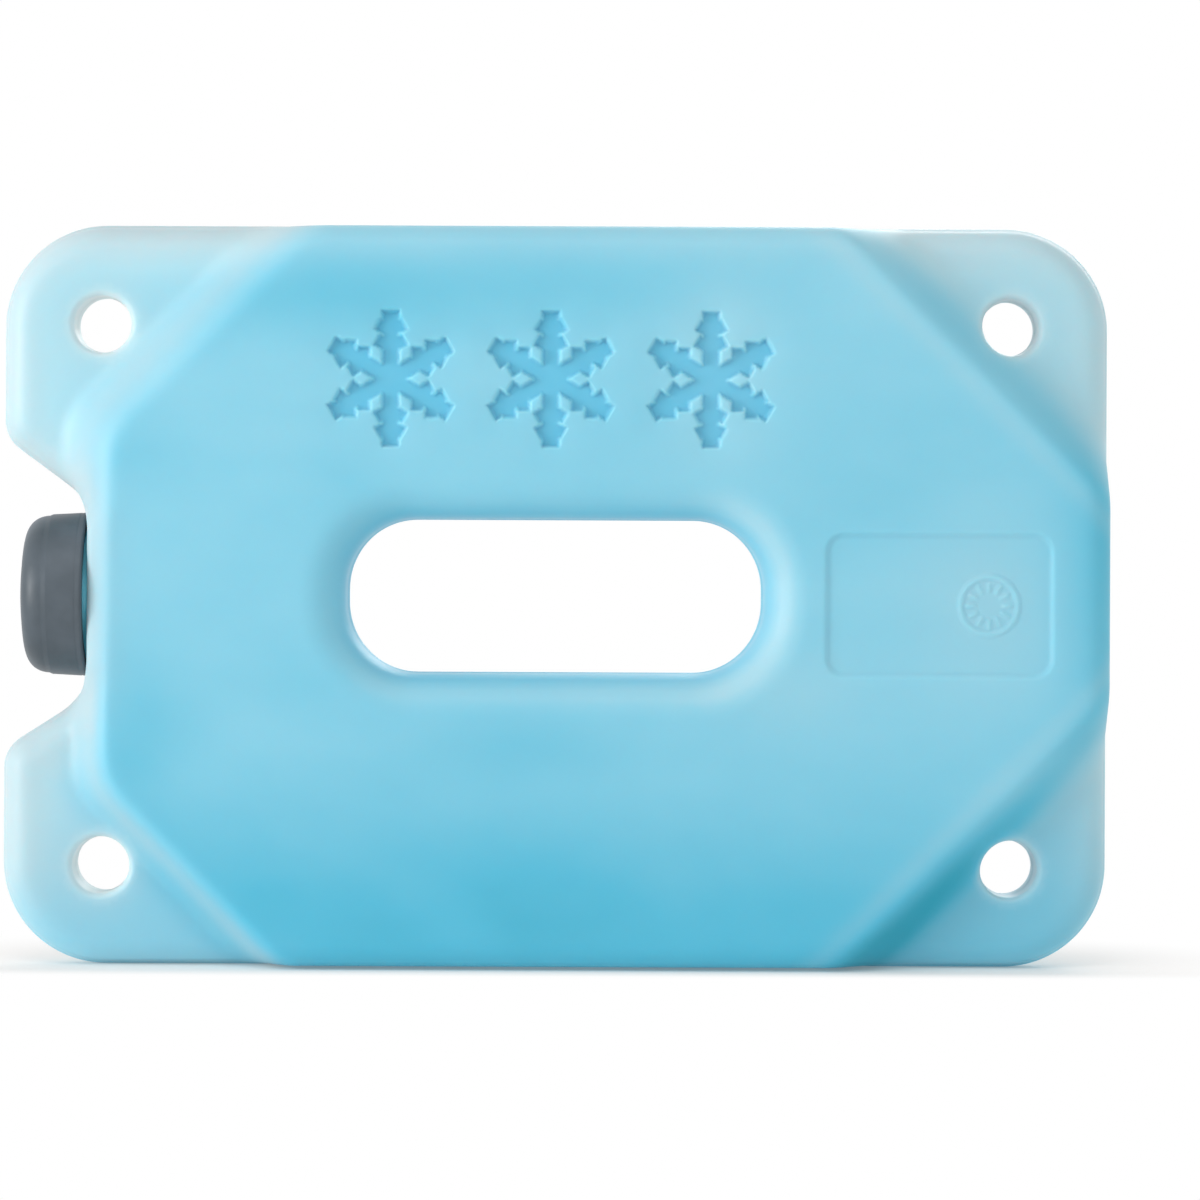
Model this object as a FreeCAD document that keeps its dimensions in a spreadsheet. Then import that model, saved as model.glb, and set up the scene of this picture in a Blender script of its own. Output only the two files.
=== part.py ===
import FreeCAD, Part
import Sketcher
import math
import os
import sys

# Reusable ice pack: a blow-moulded bottle with a finger slot, thin drilled corners and a sealed filler cap.
# It stands on its long edge. X runs along that edge, away from the cap, Y through the thickness with the
# front at -Y, and Z up. Lengths are in millimetres and angles in degrees.
SIZES = [
    ("pack_length", 203.0, "overall length along X"),
    ("pack_height", 135.9, "overall height along Z"),
    ("pack_thickness", 31.0, "thickness of the filled middle"),
    ("tab_thickness", 13.0, "thickness of the four corners"),
    ("corner_radius", 18.8, "outer corners, seen from the front"),
    ("edge_radius", 5.0, "rounding all round the rim"),
    ("face_end_right", 37.2, "height of the thick face at the right edge"),
    ("face_end_left", 61.5, "height of the thick face at the ridge of the wall"),
    ("corner_angle", 45.0, "ridges against the long edge"),
    ("bevel_angle", 52.0, "slope from the thick middle to the corners"),
    ("ridge_extra", 0.5, "rounding at the top of the slope, beyond edge_radius"),
    ("valley_radius", 8.0, "hollow at the foot of the slope"),
    ("wall_ridge_inset", 3.0, "ridge of the wall that carries the neck, behind that wall"),
    ("notch_depth", 16.25, "recess for the cap"),
    ("notch_mouth", 56.8, "recess at the outer edge"),
    ("notch_floor", 36.0, "recess at its wall"),
    ("notch_mouth_radius", 6.5, "rounding at the outer edge"),
    ("notch_floor_radius", 10.0, "rounding at the wall"),
    ("slot_length", 76.0, "finger slot"),
    ("slot_width", 28.0, "finger slot"),
    ("slot_end_flat", 2.5, "straight part of each end of the slot"),
    ("slot_lip_radius", 7.5, "rounding of the slot towards both faces"),
    ("hole_diameter", 10.0, "corner holes"),
    ("hole_inset", 18.4, "hole centre from both edges"),
    ("hole_lip_radius", 2.0, "rounding of the holes towards both faces"),
    ("label_length", 40.7, "sunk label panel"),
    ("label_height", 25.7, "sunk label panel"),
    ("label_radius", 3.3, "corners of the panel"),
    ("label_inset", 32.0, "centre of the panel from the right edge"),
    ("label_drop", 1.3, "centre of the panel below mid-height"),
    ("label_depth", 0.8, "sunk below the face"),
    ("seat_height", 31.0, "raised seat around the neck, along the wall"),
    ("seat_step", 2.1, "edge of the seat at the wall, below the face"),
    ("seat_slope", 24.0, "slope of the seat towards the wall"),
    ("seat_sink", 0.1, "inner end of the seat below the face"),
    ("seat_corner_radius", 3.5, "corners of the seat, seen from the cap"),
    ("seat_edge_radius", 1.2, "rounding of the seat at the wall"),
    ("neck_diameter", 25.4, "filler neck"),
    ("thread_clearance", 0.3, "cap bore outside the neck"),
    ("cap_wall", 2.1, "wall of the cap at its rim"),
    ("cap_taper", 0.6, "cap smaller in radius at its end than at its rim"),
    ("cap_height", 12.4, "rim to the middle of the end"),
    ("cap_crown", 0.9, "rise of the domed end"),
    ("cap_corner_radius", 3.7, "rounding of the end"),
    ("cap_rim_radius", 0.5, "rounding of the rim"),
    ("cap_top_thickness", 3.0, "end wall at its middle"),
    ("cap_gap", 0.6, "rim to wall"),
    ("seal_thickness", 1.0, "sealing disc in the cap"),
    ("seal_clearance", 0.2, "sealing disc inside the cap bore"),
]

# Places that several features share
HALF_LENGTH = "Sizes.pack_length / 2"
HALF_HEIGHT = "Sizes.pack_height / 2"
HALF_THICKNESS = "Sizes.pack_thickness / 2"
HALF_TAB = "Sizes.tab_thickness / 2"
THROUGH = "2 * Sizes.pack_thickness"
RIDGE_RADIUS = "(Sizes.edge_radius + Sizes.ridge_extra)"
HOLE_X = "(Sizes.pack_length / 2 - Sizes.hole_inset)"
HOLE_Z = "(Sizes.pack_height / 2 - Sizes.hole_inset)"
WALL_X = "(Sizes.notch_depth - Sizes.pack_length / 2)"
WALL_RIDGE_X = "(%s + Sizes.wall_ridge_inset)" % WALL_X
# Along the neck, measured outwards from the wall
CAP_RIM = "Sizes.cap_gap"
CAP_END = "(Sizes.cap_gap + Sizes.cap_height)"
CAP_CEILING = "(%s - Sizes.cap_top_thickness)" % CAP_END
NECK_END = "(%s - Sizes.seal_thickness)" % CAP_CEILING
CAP_BORE = "(Sizes.neck_diameter / 2 + Sizes.thread_clearance)"
CAP_RADIUS = "(%s + Sizes.cap_wall)" % CAP_BORE
CAP_END_RADIUS = "(%s - Sizes.cap_taper)" % CAP_RADIUS

# Edges are found within this distance of their place
TOUCH = 0.01
# A wall is square to the faces below the first lean, and a face, slope or corner lies beyond the second
SQUARE_LEAN, FLAT_LEAN = 0.001, 0.1


def make_sheet(doc):
    """Spreadsheet of the driving dimensions, one row each: name, value, what it measures."""
    sheet = doc.addObject("Spreadsheet::Sheet", "Sizes")
    for row, (name, value, meaning) in enumerate(SIZES, start=1):
        sheet.set("A%d" % row, name)
        sheet.set("B%d" % row, str(value))
        sheet.set("C%d" % row, meaning)
        sheet.setAlias("B%d" % row, name)
    doc.recompute()
    return sheet


def value_of(thing, expression):
    """The number that an expression on the sheet gives."""
    found = thing.evalExpression(expression)
    return float(getattr(found, "Value", found))


def origin_plane(body, role):
    return next(item for item in body.Origin.OriginFeatures if item.Role == role)


def add_sketch(body, name, role):
    """Sketch on one of the body's own origin planes."""
    sketch = body.newObject("Sketcher::SketchObject", name)
    sketch.AttachmentSupport = [(origin_plane(body, role), "")]
    sketch.MapMode = "FlatFace"
    return sketch


def hold_point(sketch, geometry, point, across, up):
    """Tie a point to its two distances from the sketch origin."""
    for kind, expression in (("DistanceX", across), ("DistanceY", up)):
        distance = value_of(sketch, expression)
        index = sketch.addConstraint(Sketcher.Constraint(kind, -1, 1, geometry, point, distance))
        sketch.setExpression("Constraints[%d]" % index, expression)


def hold_radius(sketch, arc, expression):
    index = sketch.addConstraint(Sketcher.Constraint("Radius", arc, value_of(sketch, expression)))
    sketch.setExpression("Constraints[%d]" % index, expression)


def round_corner(before, corner, after, radius):
    """Arc that rounds a corner: its start, its end, the arc, and whether it turns anticlockwise."""
    to_before = (before - corner).normalize()
    to_after = (after - corner).normalize()
    half = to_before.getAngle(to_after) / 2
    centre = corner + (to_before + to_after).normalize() * (radius / math.sin(half))
    start = corner + to_before * (radius / math.tan(half))
    end = corner + to_after * (radius / math.tan(half))
    anticlockwise = (start - centre).cross(end - centre).z > 0
    first, last = (start, end) if anticlockwise else (end, start)
    angles = [math.atan2(point.y - centre.y, point.x - centre.x) for point in (first, last)]
    arc = Part.ArcOfCircle(Part.Circle(centre, FreeCAD.Vector(0, 0, 1), radius), *angles)
    return start, end, arc, anticlockwise


def add_dome(sketch, start, end):
    """Arc up to the sketch's upright axis, with its centre on that axis."""
    rise = end.y - start.y
    radius = (start.x ** 2 + rise ** 2) / (2 * rise)
    circle = Part.Circle(FreeCAD.Vector(0, end.y - radius, 0), FreeCAD.Vector(0, 0, 1), radius)
    lean = math.asin(start.x / radius)
    arc = sketch.addGeometry(Part.ArcOfCircle(circle, math.pi / 2 - lean, math.pi / 2))
    sketch.addConstraint(Sketcher.Constraint("PointOnObject", arc, 3, -2))
    return arc


def join_sides(sketch, before, after, corner, rounding, point):
    """Tie the meeting of two sides: a plain corner, or a tangent arc that keeps its sharp corner."""
    if rounding is None:
        sketch.addConstraint(Sketcher.Constraint("Coincident", before, 2, after, 1))
        hold_point(sketch, after, 1, corner[0], corner[1])
        return
    arc = sketch.addGeometry(rounding[2])
    near, far = (1, 2) if rounding[3] else (2, 1)
    sharp = sketch.addGeometry(Part.Point(point), True)
    sketch.addConstraint(Sketcher.Constraint("Tangent", before, 2, arc, near))
    sketch.addConstraint(Sketcher.Constraint("Tangent", arc, far, after, 1))
    sketch.addConstraint(Sketcher.Constraint("PointOnObject", sharp, 1, before))
    sketch.addConstraint(Sketcher.Constraint("PointOnObject", sharp, 1, after))
    hold_point(sketch, sharp, 1, corner[0], corner[1])
    hold_radius(sketch, arc, corner[2])


def draw_loop(sketch, corners, domed=None):
    """Closed loop through corners given as (across, up) or (across, up, radius) expressions.
    Its sides are straight, apart from the one after corner number domed."""
    count = len(corners)
    points = [FreeCAD.Vector(value_of(sketch, c[0]), value_of(sketch, c[1]), 0) for c in corners]
    rounds = [None] * count
    for index, corner in enumerate(corners):
        if len(corner) == 3:
            rounds[index] = round_corner(points[index - 1], points[index], points[(index + 1) % count],
                                         value_of(sketch, corner[2]))
    sides = []
    for index in range(count):
        after = (index + 1) % count
        start = rounds[index][1] if rounds[index] else points[index]
        end = rounds[after][0] if rounds[after] else points[after]
        if index == domed:
            sides.append(add_dome(sketch, start, end))
        else:
            sides.append(sketch.addGeometry(Part.LineSegment(start, end)))
    for index, corner in enumerate(corners):
        join_sides(sketch, sides[index - 1], sides[index], corner, rounds[index], points[index])


def add_feature(body, kind, name, **settings):
    """PartDesign feature whose text settings are expressions on the sheet."""
    feature = body.newObject("PartDesign::" + kind, name)
    for key, setting in settings.items():
        if isinstance(setting, str) and "Sizes." in setting:
            feature.setExpression(key, setting)
        else:
            setattr(feature, key, setting)
    body.Tip = feature
    body.Document.recompute()
    return feature


def rim_edges(shape, low, high):
    """Names of the edges in a box in X and Z where a wall square to the faces meets a face or slope."""
    names = []
    for number, edge in enumerate(shape.Edges, start=1):
        middle = edge.valueAt((edge.FirstParameter + edge.LastParameter) / 2)
        if not (low[0] <= middle.x <= high[0] and low[1] <= middle.z <= high[1]):
            continue
        leans = []
        for face in shape.ancestorsOfType(edge, Part.Face):
            leans.append(abs(face.normalAt(*face.Surface.parameter(middle)).y))
        if len(leans) == 2 and min(leans) < SQUARE_LEAN and max(leans) > FLAT_LEAN:
            names.append("Edge%d" % number)
    return names


def cut_crease(body, name, place_x, place_z, turn):
    """Cut both faces down to corner thickness, outwards from a ridge line.
    The section is drawn square to the ridge, with its own across axis pointing away from the middle."""
    section = add_sketch(body, name + "Section", "XY_Plane")
    start_turn = FreeCAD.Rotation(FreeCAD.Vector(0, 1, 0), value_of(section, turn))
    section.AttachmentOffset = FreeCAD.Placement(FreeCAD.Vector(), start_turn)
    section.setExpression("AttachmentOffset.Base.x", place_x)
    section.setExpression("AttachmentOffset.Base.z", place_z)
    section.setExpression("AttachmentOffset.Rotation.Angle", turn)
    slope_run = "((%s - %s) / tan(Sizes.bevel_angle * 1 deg))" % (HALF_THICKNESS, HALF_TAB)
    behind = "-" + RIDGE_RADIUS
    beyond = "Sizes.pack_height"
    for side in ("-", ""):
        face = side + HALF_THICKNESS
        corner = side + HALF_TAB
        outside = side + "Sizes.pack_thickness"
        draw_loop(section, [(behind, face), ("0", face, RIDGE_RADIUS),
                            (slope_run, corner, "Sizes.valley_radius"), (beyond, corner),
                            (beyond, outside), (behind, outside)])
    return add_feature(body, "Pocket", name, Profile=section, SideType="Symmetric",
                       Length="2 * Sizes.pack_length + 2 * Sizes.pack_height")


def make_slab(body):
    """Outline with the recess for the cap, as thick as the filled middle."""
    outline = add_sketch(body, "Outline", "XZ_Plane")
    corners = []
    for side_x, side_z in (("-", "-"), ("", "-"), ("", ""), ("-", "")):
        corners.append((side_x + HALF_LENGTH, side_z + HALF_HEIGHT, "Sizes.corner_radius"))
    corners.append(("-" + HALF_LENGTH, "Sizes.notch_mouth / 2", "Sizes.notch_mouth_radius"))
    corners.append((WALL_X, "Sizes.notch_floor / 2", "Sizes.notch_floor_radius"))
    corners.append((WALL_X, "-Sizes.notch_floor / 2", "Sizes.notch_floor_radius"))
    corners.append(("-" + HALF_LENGTH, "-Sizes.notch_mouth / 2", "Sizes.notch_mouth_radius"))
    draw_loop(outline, corners)
    add_feature(body, "Pad", "Slab", Profile=outline, SideType="Symmetric", Length="Sizes.pack_thickness")


def make_creases(body):
    """Slopes down to the thin corners, and along the wall that carries the neck."""
    right = cut_crease(body, "RightCrease", HALF_LENGTH, "Sizes.face_end_right / 2",
                       "Sizes.corner_angle - 90")
    left = cut_crease(body, "LeftCrease", WALL_RIDGE_X, "Sizes.face_end_left / 2",
                      "-90 - Sizes.corner_angle")
    add_feature(body, "Mirrored", "LowerCreases", Originals=[right, left],
                MirrorPlane=(origin_plane(body, "XY_Plane"), [""]))
    cut_crease(body, "WallCrease", WALL_RIDGE_X, "0", "180")


def round_rims(body, name, centre_x, centre_z, reach_x, reach_z, radius):
    """Round the rims of the outline, a slot or a hole, found within a box about their middle."""
    shape = body.Tip.Shape
    middle = [value_of(body, centre_x), value_of(body, centre_z)]
    reach = [value_of(body, reach_x), value_of(body, reach_z)]
    low = [middle[0] - reach[0] - TOUCH, middle[1] - reach[1] - TOUCH]
    high = [middle[0] + reach[0] + TOUCH, middle[1] + reach[1] + TOUCH]
    add_feature(body, "Fillet", name, Base=(body.Tip, rim_edges(shape, low, high)), Radius=radius)


def make_slot(body):
    """Finger slot through the middle, with wide soft lips."""
    sketch = add_sketch(body, "SlotOutline", "XZ_Plane")
    across, up = "Sizes.slot_length / 2", "Sizes.slot_width / 2"
    end_radius = "(Sizes.slot_width - Sizes.slot_end_flat) / 2"
    corners = []
    for side_x, side_z in (("-", "-"), ("", "-"), ("", ""), ("-", "")):
        corners.append((side_x + across, side_z + up, end_radius))
    draw_loop(sketch, corners)
    add_feature(body, "Pocket", "Slot", Profile=sketch, SideType="Symmetric", Length=THROUGH)
    round_rims(body, "SlotLips", "0", "0", across, up, "Sizes.slot_lip_radius")


def make_holes(body):
    """A hole through each thin corner."""
    sketch = add_sketch(body, "HoleCircles", "XZ_Plane")
    radius = "Sizes.hole_diameter / 2"
    corners = [(side_x + HOLE_X, side_z + HOLE_Z) for side_x in ("-", "") for side_z in ("-", "")]
    for across, up in corners:
        middle = FreeCAD.Vector(value_of(sketch, across), value_of(sketch, up), 0)
        circle = Part.Circle(middle, FreeCAD.Vector(0, 0, 1), value_of(sketch, radius))
        index = sketch.addGeometry(circle)
        hold_point(sketch, index, 3, across, up)
        hold_radius(sketch, index, radius)
    add_feature(body, "Pocket", "Holes", Profile=sketch, SideType="Symmetric", Length=THROUGH)
    for number, (across, up) in enumerate(corners, start=1):
        round_rims(body, "HoleLips%d" % number, across, up, radius, radius, "Sizes.hole_lip_radius")


def make_label_panel(body):
    """Shallow sunk panel on the front, right of the slot."""
    sketch = add_sketch(body, "LabelOutline", "XZ_Plane")
    sketch.setExpression("AttachmentOffset.Base.z", HALF_THICKNESS)
    middle_x, middle_z = "(%s - Sizes.label_inset)" % HALF_LENGTH, "-Sizes.label_drop"
    across, up = " Sizes.label_length / 2", " Sizes.label_height / 2"
    corners = []
    for side_x, side_z in (("-", "-"), ("+", "-"), ("+", "+"), ("-", "+")):
        corners.append((middle_x + side_x + across, middle_z + side_z + up, "Sizes.label_radius"))
    draw_loop(sketch, corners)
    add_feature(body, "Pocket", "LabelPanel", Profile=sketch, Length="Sizes.label_depth")


def make_neck_seat(doc):
    """Raised seat between both faces that carries the neck up to the edge of the wall, as a body of its own.
    It is drawn in the plane of the wall and widens inwards, until it is level with the faces."""
    seat = doc.addObject("PartDesign::Body", "NeckSeat")
    outline = add_sketch(seat, "SeatOutline", "YZ_Plane")
    outline.setExpression("AttachmentOffset.Base.z", WALL_X)
    across, up = "(%s - Sizes.seat_step)" % HALF_THICKNESS, "Sizes.seat_height / 2"
    corners = []
    for side_y, side_z in (("-", "-"), ("", "-"), ("", ""), ("-", "")):
        corners.append((side_y + across, side_z + up, "Sizes.seat_corner_radius"))
    draw_loop(outline, corners)
    add_feature(seat, "Pad", "SeatWedge", Profile=outline, TaperAngle="Sizes.seat_slope * 1 deg",
                Length="(Sizes.seat_step - Sizes.seat_sink) / tan(Sizes.seat_slope * 1 deg)")
    wall = value_of(seat, WALL_X)
    shape = seat.Tip.Shape
    edges = ["Edge%d" % number for number, edge in enumerate(shape.Edges, start=1)
             if edge.BoundBox.XMax < wall + TOUCH]
    add_feature(seat, "Fillet", "SeatEdge", Base=(seat.Tip, edges), Radius="Sizes.seat_edge_radius")
    return seat


def make_neck(body):
    """Seat, and a filler neck turned about the long axis and rooted behind the rim."""
    joined = add_feature(body, "Boolean", "SeatJoined", Type="Fuse")
    joined.addObjects([make_neck_seat(body.Document)])
    body.Document.recompute()
    section = add_sketch(body, "NeckSection", "XY_Plane")
    root = WALL_RIDGE_X + " + " + RIDGE_RADIUS
    end = WALL_X + " - " + NECK_END
    neck_radius = "Sizes.neck_diameter / 2"
    draw_loop(section, [(root, "0"), (root, neck_radius), (end, neck_radius), (end, "0")])
    add_feature(body, "Revolution", "Neck", Profile=section, ReferenceAxis=(section, ["H_Axis"]))


def make_pack(doc):
    body = doc.addObject("PartDesign::Body", "PackBody")
    body.Label = "pack_body"
    make_slab(body)
    make_creases(body)
    round_rims(body, "OuterRims", "0", "0", "Sizes.pack_length", "Sizes.pack_height", "Sizes.edge_radius")
    make_slot(body)
    make_holes(body)
    make_label_panel(body)
    make_neck(body)
    body.setExpression("Placement.Base.z", HALF_HEIGHT)
    return body


def place_on_wall(thing, outwards):
    """Turn a piece made upright so that it points out of the wall, on the axis of the neck."""
    thing.Placement = FreeCAD.Placement(FreeCAD.Vector(), FreeCAD.Rotation(FreeCAD.Vector(0, 1, 0), -90))
    thing.setExpression("Placement.Base.x", WALL_X + " - " + outwards)
    thing.setExpression("Placement.Base.z", HALF_HEIGHT)


def ring_edges(shape, radius, height):
    """Names of the round edges of a turned piece at a radius and height."""
    names = []
    for number, edge in enumerate(shape.Edges, start=1):
        if edge.Degenerated or not isinstance(edge.Curve, Part.Circle):
            continue
        if abs(edge.Curve.Radius - radius) < TOUCH and abs(edge.Curve.Center.z - height) < TOUCH:
            names.append("Edge%d" % number)
    return names


def make_cap(doc):
    """Smooth cup with a slightly domed end, made upright with the wall at its zero."""
    body = doc.addObject("PartDesign::Body", "FillerCap")
    body.Label = "filler_cap"
    section = add_sketch(body, "CapSection", "XZ_Plane")
    end_edge = CAP_END + " - Sizes.cap_crown"
    draw_loop(section, [(CAP_BORE, CAP_RIM), (CAP_RADIUS, CAP_RIM), (CAP_END_RADIUS, end_edge),
                        ("0", CAP_END), ("0", CAP_CEILING), (CAP_BORE, CAP_CEILING)], domed=2)
    add_feature(body, "Revolution", "Cup", Profile=section, ReferenceAxis=(section, ["V_Axis"]))
    for name, radius, height, size in (("EndRound", CAP_END_RADIUS, end_edge, "Sizes.cap_corner_radius"),
                                       ("RimRound", CAP_RADIUS, CAP_RIM, "Sizes.cap_rim_radius")):
        rings = ring_edges(body.Tip.Shape, value_of(body, radius), value_of(body, height))
        add_feature(body, "Fillet", name, Base=(body.Tip, rings), Radius=size)
    place_on_wall(body, "0")
    return body


def make_seal(doc):
    """Sealing disc between the end of the neck and the cap."""
    disc = doc.addObject("Part::Cylinder", "SealDisc")
    disc.Label = "seal_disc"
    disc.setExpression("Radius", CAP_BORE + " - Sizes.seal_clearance")
    disc.setExpression("Height", "Sizes.seal_thickness")
    place_on_wall(disc, NECK_END)
    return disc


def check(doc, pieces):
    """Stop where a feature failed or a piece is empty, broken or in several solids."""
    for thing in doc.Objects:
        if "Invalid" in thing.State or "Error" in thing.State:
            sys.exit("%s failed: %s" % (thing.Name, thing.State))
    for piece in pieces:
        if piece.Shape.isNull() or not piece.Shape.isValid() or len(piece.Shape.Solids) != 1:
            sys.exit("%s is not one sound solid" % piece.Label)


def main():
    doc = FreeCAD.newDocument("IcePack")
    make_sheet(doc)
    pieces = [make_pack(doc), make_cap(doc), make_seal(doc)]
    doc.recompute()
    check(doc, pieces)
    os.makedirs("parts", exist_ok=True)
    for piece in pieces:
        piece.Shape.exportStep("parts/%s.step" % piece.Label)
        box = piece.Shape.BoundBox
        print("%s: %d faces, %.0f mm3, X %.2f to %.2f, Y %.2f to %.2f, Z %.2f to %.2f" % (
            piece.Label, len(piece.Shape.Faces), piece.Shape.Volume,
            box.XMin, box.XMax, box.YMin, box.YMax, box.ZMin, box.ZMax))


main()
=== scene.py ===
import math

import bmesh
import bpy
import numpy as np
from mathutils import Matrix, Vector
from mathutils.geometry import delaunay_2d_cdt


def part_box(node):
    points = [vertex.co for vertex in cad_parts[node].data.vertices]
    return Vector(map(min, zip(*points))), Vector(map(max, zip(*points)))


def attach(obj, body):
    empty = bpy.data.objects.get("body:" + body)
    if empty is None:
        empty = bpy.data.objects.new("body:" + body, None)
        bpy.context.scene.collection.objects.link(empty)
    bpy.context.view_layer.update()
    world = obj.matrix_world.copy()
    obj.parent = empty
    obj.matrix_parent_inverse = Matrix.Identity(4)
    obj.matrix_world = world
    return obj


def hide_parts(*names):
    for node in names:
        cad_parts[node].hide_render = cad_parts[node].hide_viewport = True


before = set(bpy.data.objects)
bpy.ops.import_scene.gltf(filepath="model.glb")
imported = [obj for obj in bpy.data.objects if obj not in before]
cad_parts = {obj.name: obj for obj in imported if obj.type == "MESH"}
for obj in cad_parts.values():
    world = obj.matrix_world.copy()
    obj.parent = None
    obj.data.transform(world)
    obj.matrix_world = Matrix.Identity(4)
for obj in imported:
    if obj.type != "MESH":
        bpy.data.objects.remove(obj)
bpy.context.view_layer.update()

# Reusable ice pack, standing on its long edge. Shapes are worked out in millimetres about the middle of
# the pack: across is X, up is Z and out is the distance from the middle plane. The meshes are in metres.
mm = 0.001
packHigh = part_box("pack_body")[1]
capLow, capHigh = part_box("filler_cap")
sealLow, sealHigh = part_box("seal_disc")
halfLength = packHigh.x / mm
halfHeight = packHigh.z / 2 / mm
halfThick = packHigh.y / mm
print("frame loaded: %.1f x %.1f x %.1f mm" % (2 * halfLength, 2 * halfThick, 2 * halfHeight))


def unit(vectors):
    # the same directions with length 1
    return vectors / np.linalg.norm(vectors, axis=-1, keepdims=True)


def steps(low, high, step):
    # evenly spaced numbers from low up to, but without, high, about one step apart
    count = max(1, int(round(abs((high - low) / step))))
    return low + (high - low) * np.arange(count) / count


def roundedLoop(corners, step):
    # Closed loop through corners (across, up, radius) given anticlockwise, each rounded by an arc that
    # touches both its sides: centre = corner + the middle direction times radius / sin(half its angle).
    # Gives the points and, for each, the unit direction that points out of the loop.
    corners = np.array(corners, float)
    place, radius = corners[:, :2], corners[:, 2:]
    toBefore = unit(np.roll(place, 1, 0) - place)
    toAfter = unit(np.roll(place, -1, 0) - place)
    half = np.arccos((toBefore * toAfter).sum(1, keepdims=True)) / 2
    centre = place + unit(toBefore + toAfter) * radius / np.sin(half)
    start = place + toBefore * radius / np.tan(half)
    end = place + toAfter * radius / np.tan(half)
    turn = np.sign(toAfter[:, 0] * toBefore[:, 1] - toAfter[:, 1] * toBefore[:, 0])
    points, normals = [], []
    for k in range(len(place)):
        first = math.atan2(*(start[k] - centre[k])[::-1])
        sweep = turn[k] * (math.pi - 2 * half[k, 0])
        angle = first + steps(0, sweep, step / radius[k, 0])
        spoke = np.stack([np.cos(angle), np.sin(angle)], 1)
        points.append(centre[k] + spoke * radius[k])
        normals.append(spoke * turn[k])
        side = start[(k + 1) % len(place)] - end[k]
        length = np.linalg.norm(side)
        if length > step / 2:
            along = side / length
            points.append(end[k] + steps(0, length, step)[:, None] * along)
            normals.append(np.tile([along[1], -along[0]], (len(points[-1]), 1)))
    return np.concatenate(points), np.concatenate(normals)


def gridFaces(rows, columns):
    # two triangles for each cell of a grid whose rows run round and meet their own start
    row, column = np.meshgrid(np.arange(rows - 1), np.arange(columns), indexing="ij")
    right = (column + 1) % columns
    a, b = row * columns + column, row * columns + right
    c, d = (row + 1) * columns + right, (row + 1) * columns + column
    halves = [np.stack([a, b, c], -1), np.stack([a, c, d], -1)]
    return np.concatenate([half.reshape(-1, 3) for half in halves])


weldStep = 0.002  # points in one cell of a grid this fine, in millimetres, become one point


def snapped(points):
    # to the nearest corner of a fine grid, so that points which sheets share fall together exactly
    return np.round(points / weldStep) * weldStep


def putMesh(name, sheets, attributes=()):
    # Joins sheets of (points, faces, values), welds points that fall together and turns faces outwards.
    points = np.concatenate([sheet[0] for sheet in sheets])
    shift = np.cumsum([0] + [len(sheet[0]) for sheet in sheets[:-1]])
    faces = np.concatenate([sheet[1] + first for sheet, first in zip(sheets, shift)])
    values = np.concatenate([sheet[2] for sheet in sheets]) if attributes else None
    _, keep, where = np.unique(np.round(points / weldStep).astype(np.int64), axis=0,
                               return_index=True, return_inverse=True)
    faces = where.reshape(-1)[faces]
    faces = faces[(faces != np.roll(faces, 1, 1)).all(1)]
    mesh = bpy.data.meshes.new(name)
    mesh.vertices.add(len(keep))
    mesh.vertices.foreach_set("co", (points[keep] * mm).astype(np.float32).ravel())
    mesh.loops.add(faces.size)
    mesh.loops.foreach_set("vertex_index", faces.astype(np.int32).ravel())
    mesh.polygons.add(len(faces))
    mesh.polygons.foreach_set("loop_start", np.arange(0, faces.size, 3, dtype=np.int32))
    mesh.update(calc_edges=True)
    mesh.validate()
    for number, attribute in enumerate(attributes):
        layer = mesh.attributes.new(attribute, "FLOAT", "POINT")
        layer.data.foreach_set("value", values[keep, number].astype(np.float32))
    work = bmesh.new()
    work.from_mesh(mesh)
    bmesh.ops.recalc_face_normals(work, faces=work.faces)
    openEdges = sum(1 for edge in work.edges if len(edge.link_faces) != 2)
    work.to_mesh(mesh)
    work.free()
    mesh.shade_smooth()
    thing = bpy.data.objects.new(name, mesh)
    bpy.context.scene.collection.objects.link(thing)
    print("%s: %d points, %d triangles, %d open edges" % (name, len(keep), len(faces), openEdges))
    return thing


def spunSheet(profile, segments, middle):
    # Profile rows of (x, radius) carried round the long axis: y = r cos a, z = middle + r sin a.
    angle = np.arange(segments) * 2 * math.pi / segments
    x, radius = profile[:, :1], profile[:, 1:]
    points = np.stack([x + 0 * angle, radius * np.cos(angle), middle + radius * np.sin(angle)], -1)
    return points.reshape(-1, 3), gridFaces(len(profile), segments)


def arcRows(centre, radius, first, last, count):
    # points on an arc from the first to the last angle in degrees, both included
    angle = np.radians(np.linspace(first, last, count))
    return np.stack([centre[0] + radius * np.cos(angle), centre[1] + radius * np.sin(angle)], 1)


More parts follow.
